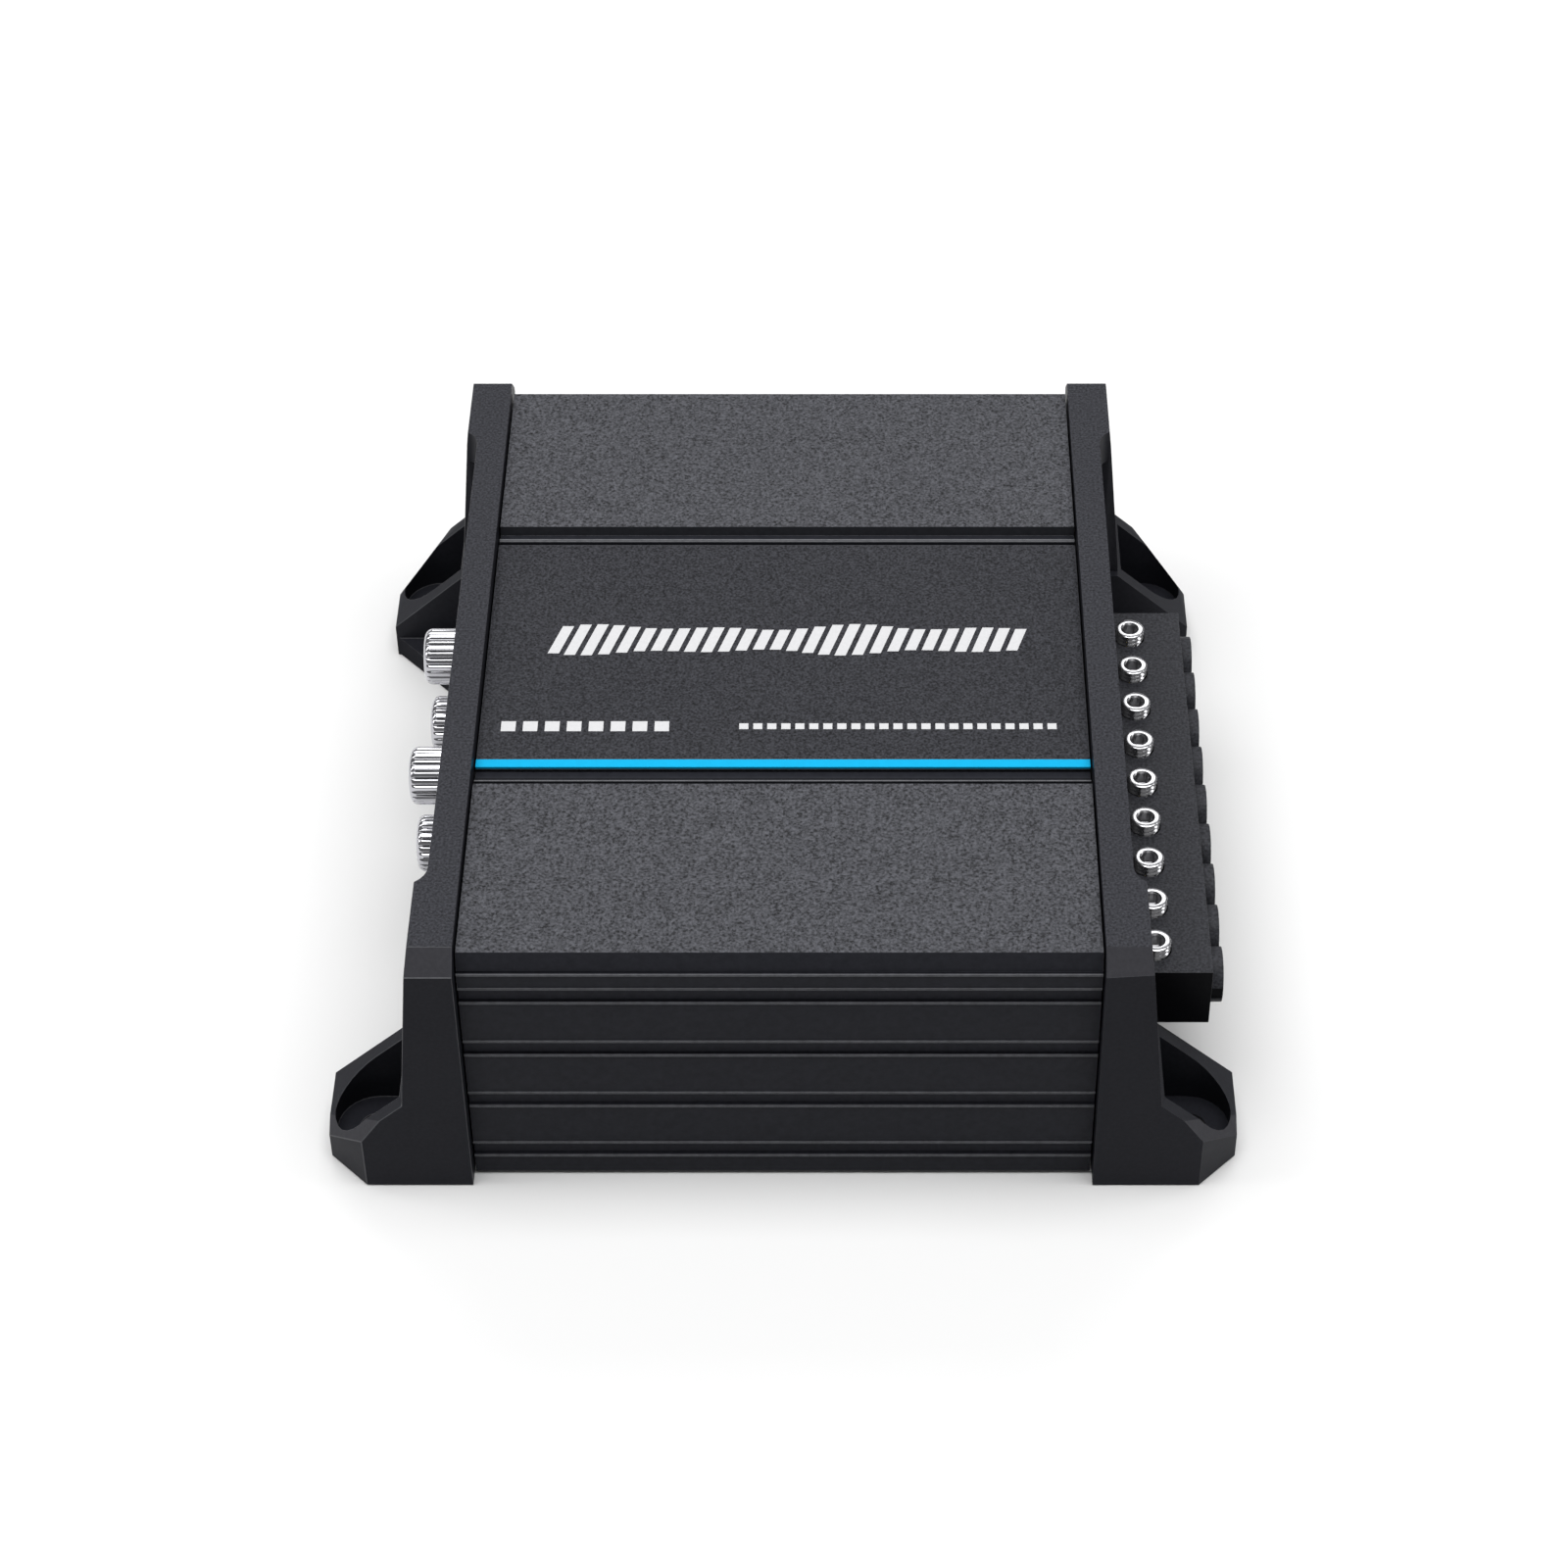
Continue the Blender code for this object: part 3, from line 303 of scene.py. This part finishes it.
def shade(mesh, angle):
    """Shade smooth, with edges above the angle in degrees kept sharp."""
    mesh.shade_smooth()
    mesh.set_sharp_from_angle(angle=math.radians(angle))


def add_piece(name, mesh, materials, body):
    for material in materials:
        mesh.materials.append(material)
    piece = bpy.data.objects.new(name, mesh)
    bpy.context.scene.collection.objects.link(piece)
    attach(piece, body)
    return piece


def stand_in(node, mesh, *materials):
    """Show the mesh in the CAD node's place."""
    piece = add_piece(node + "_looks", mesh, materials, BODY_OF[node])
    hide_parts(node)
    return piece


def repaint(piece, material, chosen):
    """Give a finish of its own to the faces that chosen(face) picks."""
    piece.data.materials.append(material)
    slot = len(piece.data.materials) - 1
    for face in piece.data.polygons:
        if chosen(face):
            face.material_index = slot


def clean_copy(node):
    """The CAD node's mesh, with one face where the CAD has several in one plane."""
    bm = bmesh.new()
    bm.from_mesh(NODES[node].data)
    bmesh.ops.remove_doubles(bm, verts=bm.verts, dist=SAME_PLACE)
    bmesh.ops.dissolve_limit(bm, angle_limit=SAME_FACE, verts=bm.verts, edges=bm.edges)
    return bm


def refined(node, material, width, shortest=0.0007, edge_highlight=None, weld=SAME_PLACE):
    """A piece in the CAD node's shape with its long edges rounded.

    Vertices nearer than weld are joined first. Where edge_highlight is given, the rounded edges
    have that painted highlight, in the piece's second slot.
    """
    bm = clean_copy(node)
    bmesh.ops.remove_doubles(bm, verts=bm.verts, dist=weld)

    def is_rounded(edge):
        if len(edge.link_faces) != 2 or edge.calc_length() <= shortest:
            return False
        if edge.calc_face_angle(0.0) <= ROUNDED_FROM:
            return False
        return all(other.calc_length() > CROWDED * width
                   for vertex in edge.verts for other in vertex.link_edges)

    chosen = [edge for edge in bm.edges if is_rounded(edge)]
    bmesh.ops.bevel(bm, geom=chosen, offset=width, offset_type="OFFSET", segments=2, profile=0.5,
                    affect="EDGES", clamp_overlap=True, material=1 if edge_highlight else -1)
    low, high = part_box(node)
    for vertex in bm.verts:
        vertex.co = [min(max(value, least), most)
                     for value, least, most in zip(vertex.co, low, high)]
    mesh = to_mesh(bm, node + "_looks")
    shade(mesh, 50.0)
    materials = [material, edge_highlight] if edge_highlight else [material]
    piece = stand_in(node, mesh, *materials)
    piece.modifiers.new("even_shading", "WEIGHTED_NORMAL").keep_sharp = True
    return piece


def loft(name, rings, tips=None):
    """Surface through rings of equal point counts.

    Its ends are closed by a fan to each of the two tips, or to each other where there are none.
    """
    bm = bmesh.new()
    rows = [[bm.verts.new(point) for point in ring] for ring in rings]
    count = len(rows[0])
    pairs = list(zip(rows, rows[1:]))
    if tips is None:
        pairs.append((rows[-1], rows[0]))
    for first, second in pairs:
        for i in range(count):
            j = (i + 1) % count
            bm.faces.new((first[i], first[j], second[j], second[i]))
    if tips is not None:
        for row, point in zip((rows[0], rows[-1]), tips):
            tip = bm.verts.new(point)
            for i in range(count):
                bm.faces.new((row[i], row[(i + 1) % count], tip))
    bmesh.ops.recalc_face_normals(bm, faces=bm.faces)
    return to_mesh(bm, name)


def printed(name, outlines, place, material, axis="Z"):
    """Thin printed shapes on the flat face at place, seen from above or, with -X, from the left.

    Outlines are in millimetres: x and y from above, y and z from the left.
    """
    bm = bmesh.new()
    for outline in outlines:
        if axis == "Z":
            lows = [bm.verts.new((x * MM, y * MM, place)) for x, y in outline]
            lift = Vector((0, 0, PRINT_THICKNESS))
        else:
            lows = [bm.verts.new((place, y * MM, z * MM)) for y, z in outline]
            lift = Vector((-PRINT_THICKNESS, 0, 0))
        highs = [bm.verts.new(vertex.co + lift) for vertex in lows]
        bm.faces.new(lows)
        bm.faces.new(highs)
        for i in range(len(lows)):
            j = (i + 1) % len(lows)
            bm.faces.new((lows[i], lows[j], highs[j], highs[i]))
    bmesh.ops.recalc_face_normals(bm, faces=bm.faces)
    return add_piece(name, to_mesh(bm, name), [material], "root")


# ---- phono barrels and set screws -------------------------------------------
def make_barrel(finish, node):
    """Phono barrel with rounded flutes between a plain foot and a rounded rim."""
    low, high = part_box(node)
    axis = (low + high) / 2
    root, rim = high.x, low.x
    outer, bore = (high.y - low.y) / 2, 3.5 * MM
    flutes, samples, depth, sharpness = 24, 12, 0.34 * MM, 5
    # along the axis, radius, and the share of the flutes' depth there
    stations = [
        (root, bore, 0.0),
        (root, outer - 0.15 * MM, 0.0),
        (root - 0.15 * MM, outer, 0.0),
        (root - 0.4 * MM, outer, 0.0),
        (root - 0.7 * MM, outer, 1.0),
        (rim + 1.3 * MM, outer, 1.0),
        (rim + 0.9 * MM, outer - 0.06 * MM, 0.6),
        (rim + 0.55 * MM, outer - 0.22 * MM, 0.0),
        (rim + 0.25 * MM, outer - 0.5 * MM, 0.0),
        (rim + 0.04 * MM, outer - 0.95 * MM, 0.0),
        (rim, bore + 0.25 * MM, 0.0),
        (rim + 0.2 * MM, bore, 0.0),
    ]
    count = flutes * samples
    rings = []
    for along, radius, share in stations:
        ring = []
        for i in range(count):
            turn = 2 * math.pi * i / count
            groove = (0.5 - 0.5 * math.cos(flutes * turn)) ** sharpness
            reach = radius - depth * share * groove
            ring.append((along, axis.y + reach * math.cos(turn), axis.z + reach * math.sin(turn)))
        rings.append(ring)
    mesh = loft(node + "_looks", rings)
    shade(mesh, 40.0)

    def is_shaded(face):
        """The bottoms of the flutes, and the bore: these get painted shade."""
        across, up = face.center.y - axis.y, face.center.z - axis.z
        if math.hypot(up, across) < bore + 0.02 * MM:
            return True
        in_flute = math.cos(flutes * math.atan2(up, across)) < -0.8
        return in_flute and rim + 0.6 * MM < face.center.x < root - 0.5 * MM

    # painted shade in the flute bottoms and bore
    repaint(stand_in(node, mesh, finish["chrome"]), finish["chrome_painted_shade"], is_shaded)


def make_set_screw(finish, node):
    """Threaded set screw with a chamfered rim and a hexagon socket."""
    low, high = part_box(node)
    centre = (low + high) / 2
    major, pitch, depth, sharpness = (high.x - low.x) / 2, 0.8 * MM, 0.42 * MM, 1.3
    across_flats, socket, cone = 2.5 * MM, 2.4 * MM, 0.4 * MM
    point, sink = 1.4 * MM, 1.48 * MM
    count = 36
    turns = [2 * math.pi * i / count for i in range(count)]

    def hexagon(turn):
        return across_flats / 2 / math.cos((turn % (math.pi / 3)) - math.pi / 6)

    def ring(height, radius_at):
        return [(centre.x + radius_at(turn) * math.cos(turn),
                 centre.y + radius_at(turn) * math.sin(turn), height) for turn in turns]

    def threaded_ring(height):
        def radius_at(turn):
            phase = ((height - low.z) / pitch - turn / (2 * math.pi)) % 1.0
            return major - depth * abs(2.0 * phase - 1.0) ** sharpness
        return ring(height, radius_at)

    start, stop = low.z + 0.4 * MM, high.z - 0.2 * MM
    length = stop - low.z - 0.4 * MM
    steps = int(length / (0.1 * MM))
    rings = [ring(low.z, lambda turn: point)]
    rings += [threaded_ring(start + length * i / steps) for i in range(steps + 1)]
    rings += [
        ring(high.z - 0.08 * MM, lambda turn: major - 0.12 * MM),
        ring(high.z, lambda turn: major - 0.28 * MM),
        ring(high.z, lambda turn: sink + 0.12 * MM),
        ring(high.z - 0.1 * MM, lambda turn: sink),
        ring(high.z - 0.3 * MM, hexagon),
        ring(high.z - socket, hexagon),
    ]
    mesh = loft(node + "_looks", rings, tips=((centre.x, centre.y, low.z),
                                              (centre.x, centre.y, high.z - socket - cone)))
    shade(mesh, 35.0)

    def in_socket(face):
        radius = math.hypot(face.center.x - centre.x, face.center.y - centre.y)
        return radius < sink - 0.01 * MM and face.center.z > high.z - socket - 0.5 * MM

    # painted shade inside the hexagon socket
    repaint(stand_in(node, mesh, finish["plated_screw"]), finish["screw_socket_painted_shade"], in_socket)


# ---- print ------------------------------------------------------------------
def rectangle(x, y, width, height):
    return [(x, y), (x + width, y), (x + width, y + height), (x, y + height)]


def make_badge_print(finish):
    """Plain slanted bars like a level display, and two rows of short dashes."""
    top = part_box("badge_panel")[1].z + PRINT_GAP
    left, right, count = -40.0, 39.5, 28
    width, lean, base, tallest = 1.9, 0.32, -0.3, 8.0
    middle = base + tallest / 2
    bars = []
    for i in range(count):
        x = left + (right - left) / count * i
        wave = 0.5 + 0.5 * math.sin(0.62 * i + 0.4) * math.cos(0.19 * i)
        height = tallest * (0.55 + 0.45 * wave)
        low, high = middle - height / 2, middle + height / 2
        shift_low, shift_high = lean * (low - base), lean * (high - base)
        bars.append([(x + shift_low, low), (x + width + shift_low, low),
                     (x + width + shift_high, high), (x + shift_high, high)])
    printed("badge_bars", bars, top, finish["print_white"])
    # start, stop, low side, high side, dash length and pitch of each row
    rows = ((-46.4, -15.2, -19.0, -16.6, 2.4, 3.6), (-7.3, 47.6, -18.5, -17.1, 1.5, 2.3))
    dashes = [rectangle(start + pitch * i, low, dash, high - low)
              for start, stop, low, high, dash, pitch in rows
              for i in range(int((stop - start) / pitch))]
    printed("badge_dashes", dashes, top, finish["print_white"])


def centre_in_mm(node):
    """Y and Z of a node's middle, in millimetres."""
    low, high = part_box(node)
    return (low.y + high.y) / 2 / MM, (low.z + high.z) / 2 / MM


def make_control_print(finish):
    """Tick marks round each knob and a mark for each place of each switch."""
    tick_start, tick_end, long_tick_end, half = 4.2, 4.8, 5.2, 0.11
    ticks, half_sweep = 11, 140
    mark_width, mark_low, mark_high, throw = 0.24, 2.4, 3.4, 2.4
    marks = []
    for kind in ("level", "crossover"):
        for end in ("front", "rear"):
            y, z = centre_in_mm(f"{kind}_knob_{end}")
            for i in range(ticks):
                turn = math.radians(90 + half_sweep - 2 * half_sweep / (ticks - 1) * i)
                along = Vector((math.cos(turn), math.sin(turn)))
                across = Vector((-math.sin(turn), math.cos(turn)))
                reach = long_tick_end if i in (0, ticks // 2, ticks - 1) else tick_end
                corners = [along * tick_start - across * half, along * reach - across * half,
                           along * reach + across * half, along * tick_start + across * half]
                marks.append([(y + corner.x, z + corner.y) for corner in corners])
    for end in ("front", "rear"):
        y, z = centre_in_mm(f"filter_switch_lever_{end}")
        for shift in (-throw, 0.0, throw):
            marks.append(rectangle(y + shift - mark_width / 2, z + mark_low, mark_width,
                                   mark_high - mark_low))
    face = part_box("input_panel")[0].x
    printed("control_marks", marks, face - PRINT_GAP, finish["print_white"], "-X")


# ---- casing and end caps ----------------------------------------------------
def finish_casing(piece, finish):
    """Coarse powder on the two pads; painted light on the groove floors and channel walls,
    and painted shade on the front channel floor.
    """
    low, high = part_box("heatsink_body")
    top, side = high.z, high.y
    below_pads, mid_height = top - 0.5 * MM, 0.5 * (top + low.z)

    def is_pad(face):
        return face.normal.z > FACING and abs(face.center.z - top) < 0.05 * MM

    def is_groove_floor(face):
        depth = side - abs(face.center.y)
        return abs(face.normal.y) > FACING and 0.1 * MM < depth < 0.55 * MM

    def is_channel_wall(face):
        in_channel = 0.43 * side < abs(face.center.y) < 0.6 * side
        return abs(face.normal.y) > FACING and face.center.z > mid_height and in_channel

    def is_front_channel_floor(face):
        in_channel = mid_height < face.center.z < below_pads
        return face.normal.z > FACING and in_channel and face.center.y < 0

    repaint(piece, finish["extrusion_black"], lambda face: face.center.z > below_pads)
    repaint(piece, finish["pad_powder"], is_pad)
    # painted light on the groove floors
    repaint(piece, finish["groove_painted_light"], is_groove_floor)
    # painted light on the channel walls
    repaint(piece, finish["channel_wall_painted_light"], is_channel_wall)
    # painted shade on the front channel floor
    repaint(piece, finish["channel_painted_shade"], is_front_channel_floor)


def casing_edges():
    """Y, Z and the neighbouring faces' normals of the casing's long edges."""
    low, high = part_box("heatsink_body")
    bm = clean_copy("heatsink_body")
    found = []
    for edge in bm.edges:
        if edge.calc_length() > 0.9 * (high.x - low.x):
            middle = (edge.verts[0].co + edge.verts[1].co) / 2
            found.append((middle.y, middle.z, [face.normal.copy() for face in edge.link_faces]))
    bm.free()
    return found


def half_round_lines(name, lines, radius, material):
    """Half-round lines along the casing; each is (y, z, out), out being the side it shows."""
    sunk, sides = 0.05 * MM, 8
    low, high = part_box("heatsink_body")
    bm = bmesh.new()
    for y, z, out in lines:
        centre, out = Vector((y, z)), Vector(out)
        along = Vector((-out.y, out.x))
        section = [centre - out * sunk - along * radius]
        section += [centre + (out * math.sin(turn) - along * math.cos(turn)) * radius
                    for turn in (math.pi * i / sides for i in range(sides + 1))]
        section.append(centre - out * sunk + along * radius)
        rows = [[bm.verts.new((x, *point)) for point in section] for x in (low.x, high.x)]
        for row in rows:
            bm.faces.new(row)
        for i in range(len(section)):
            j = (i + 1) % len(section)
            bm.faces.new((rows[0][i], rows[0][j], rows[1][j], rows[1][i]))
    bmesh.ops.recalc_face_normals(bm, faces=bm.faces)
    mesh = to_mesh(bm, name)
    shade(mesh, 40.0)
    add_piece(name, mesh, [material], "root")


def make_casing_lines(finish):
    """Beads along the lips of the side grooves and lines on the channel's two ribs, both
    carrying painted highlight.
    """
    low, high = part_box("heatsink_body")
    lip_radius, rib_radius, rib_inset = 0.25 * MM, 0.14 * MM, 0.2 * MM
    lowest_lip = low.z + 2.0 * MM
    lips, ribs = [], []
    for y, z, normals in casing_edges():
        walls = [normal.z for normal in normals if abs(normal.z) > FACING]
        sides = [normal.y for normal in normals if abs(normal.y) > FACING]
        on_side = high.y - abs(y) < 0.01 * MM
        on_rib = 1.0 * MM < high.z - z < 1.6 * MM
        if walls and on_side and z > lowest_lip:
            centre = z - math.copysign(lip_radius, walls[0])
            lips.append((y, centre, (math.copysign(1.0, y), 0.0)))
        elif walls and sides and on_rib and (y > 0 or sides[0] < 0):
            ribs.append((y - math.copysign(rib_inset, sides[0]), z, (0.0, 1.0)))
    half_round_lines("lip_highlight_beads", lips, lip_radius, finish["edge_painted_highlight"])
    half_round_lines("rib_highlight_lines", ribs, rib_radius, finish["line_painted_highlight"])


def make_end_cap(finish, node):
    """End cap with a grained top, painted light on its chamfers, painted highlight on its
    rounded edges and a painted highlight line under the top chamfer.
    """
    # the cap's rounded edges get a painted highlight
    cap = refined(node, finish["moulded_black"], 0.3 * MM, edge_highlight=finish["cap_edge_painted_highlight"],
                  weld=0.45 * MM)
    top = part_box(node)[1].z
    plain, rounded = 0, 1

    def is_top(face):
        return face.normal.z > FACING and top - face.center.z < 0.1 * MM

    def is_chamfer(face):
        if face.material_index != plain:
            return False
        on_top = 0.6 < face.normal.z < 0.8 and top - face.center.z < 3.0 * MM
        slanted = 0.4 < face.normal.z < 0.62 and 0.22 < abs(face.normal.y) < 0.45
        return on_top or (slanted and face.center.z < 0.25 * top)

    def is_chamfer_line(face):
        if face.material_index != rounded:
            return False
        at_line = 3.1 * MM < top - face.center.z < 3.8 * MM
        return at_line and 0.1 < face.normal.z < 0.66 and abs(face.normal.y) > 0.7

    repaint(cap, finish["moulded_top"], is_top)
    # painted light on the chamfers
    repaint(cap, finish["chamfer_painted_light"], is_chamfer)
    # painted highlight line under the top chamfer
    repaint(cap, finish["line_painted_highlight"], is_chamfer_line)


# ---- assembly ---------------------------------------------------------------
finish = make_finishes()
make_camera()
make_studio()

# the casing's rounded edges get a painted highlight
casing = refined("heatsink_body", finish["extrusion_black"], 0.22 * MM,
                 edge_highlight=finish["edge_painted_highlight"])
finish_casing(casing, finish)
make_casing_lines(finish)
make_end_cap(finish, "end_cap_left")
make_end_cap(finish, "end_cap_right")
# the block's rounded edges get a painted highlight
block = refined("terminal_block", finish["terminal_black"], 0.2 * MM, shortest=0.0005,
                edge_highlight=finish["terminal_edge_painted_highlight"])
# painted shade on the block's end faces
repaint(block, finish["terminal_end_painted_shade"],
        lambda face: abs(face.normal.y) > 0.99 and face.material_index == 0)
# the badge's rounded edges get a painted highlight
refined("badge_panel", finish["badge_black"], 0.08 * MM, edge_highlight=finish["edge_painted_highlight"])
for node in NODES:
    if node.startswith("phono_shell_"):
        make_barrel(finish, node)
    elif node.startswith("terminal_screw_"):
        make_set_screw(finish, node)
    elif "_knob_" in node:
        refined(node, finish["knob_black"], 0.15 * MM, shortest=0.0004)
    elif "switch_lever" in node:
        refined(node, finish["switch_lever"], 0.15 * MM)
make_badge_print(finish)
make_control_print(finish)

# The nodes that are shown as they are have the finish of their own slot.
for node, shown in NODES.items():
    shown.data.materials.clear()
    shown.data.materials.append(finish[SLOT_OF[node]])
